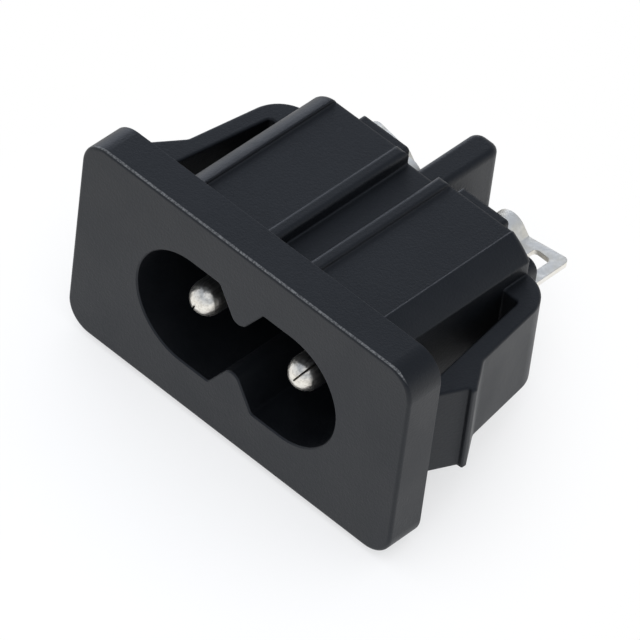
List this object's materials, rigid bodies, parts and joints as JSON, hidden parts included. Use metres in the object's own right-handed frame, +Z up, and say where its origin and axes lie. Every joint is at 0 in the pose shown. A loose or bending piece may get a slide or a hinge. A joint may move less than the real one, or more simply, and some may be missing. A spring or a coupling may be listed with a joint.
{
  "type": "panel appliance inlet",
  "caption": "Snap-in panel inlet for a two-pole figure-8 appliance connector, with a rectangular flange, sprung side arms, rolled pins and slotted solder lugs.",
  "frame": {"origin": "centre of the flange's back face, on the plane of the panel's front skin", "axes": "+X to the right seen from the front, +Y into the panel along the pins, +Z up"},
  "size_m": [0.0286, 0.0227, 0.016],
  "materials": {
    "moulding": "fine spark-eroded matt moulding",
    "plated_brass": "bright nickel plating"
  },
  "bodies": {
    "root": {"housing": "moulding", "terminal_left": "plated_brass", "terminal_right": "plated_brass"}
  },
  "joints": []
}
